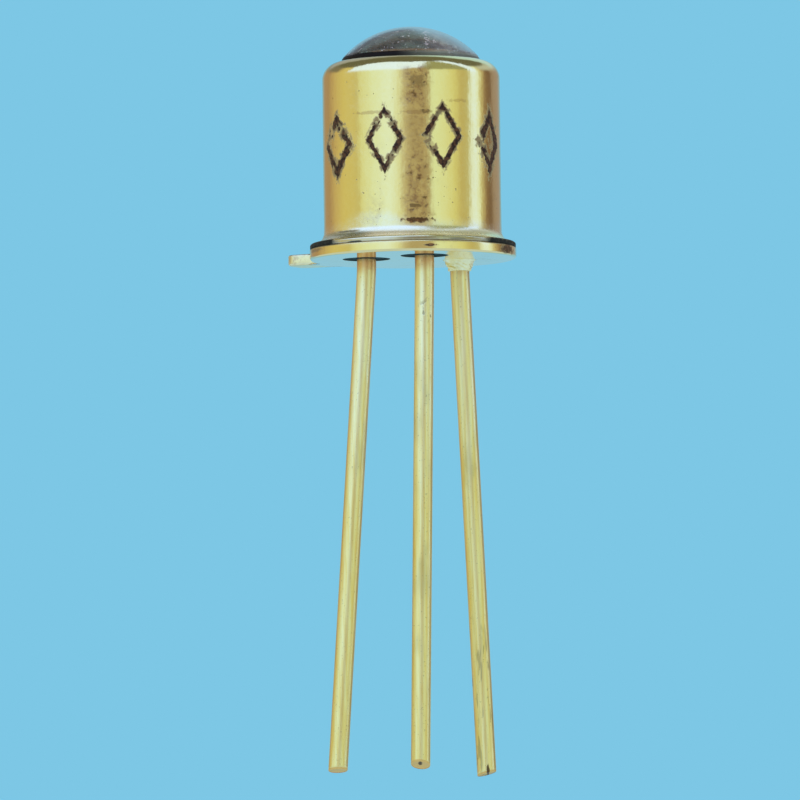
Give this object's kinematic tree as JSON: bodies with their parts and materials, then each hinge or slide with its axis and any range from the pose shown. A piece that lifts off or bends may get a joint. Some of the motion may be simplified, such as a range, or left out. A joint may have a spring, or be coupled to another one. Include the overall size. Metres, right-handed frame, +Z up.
{
  "type": "phototransistor",
  "caption": "Metal-can phototransistor with a domed glass window, a flanged header with an index tab and three splayed wire leads.",
  "frame": {"origin": "centre of the header's underside, on the can's axis", "axes": "+Z up the optical axis towards the window, -X towards the emitter lead, -Y towards the base lead"},
  "size_m": [0.0056, 0.0056, 0.0199],
  "materials": {
    "can_plating": "gold-plated, polished, worn ink and brown stains",
    "window_glass": "smoky clear glass",
    "header_plating": "gold-plated, smooth",
    "seal_glass": "dark green-grey fused glass",
    "lead_plating": "gold-plated drawn wire",
    "weld_metal": "rough pale gold",
    "silicon": "polished, dark blue-grey",
    "solder": "dull gold",
    "contact_metal": "bright",
    "bond_wire": "bright gold"
  },
  "bodies": {
    "root": {"can_shell": "can_plating", "lens": "window_glass", "header": "header_plating", "seal_emitter": "seal_glass", "seal_base": "seal_glass", "lead_emitter": "lead_plating", "lead_base": "lead_plating", "lead_collector": "lead_plating", "collector_weld": "weld_metal", "die": "silicon", "die_attach": "solder", "emitter_pad": "contact_metal", "base_pad": "contact_metal", "emitter_wire": "bond_wire", "base_wire": "bond_wire"}
  },
  "joints": []
}
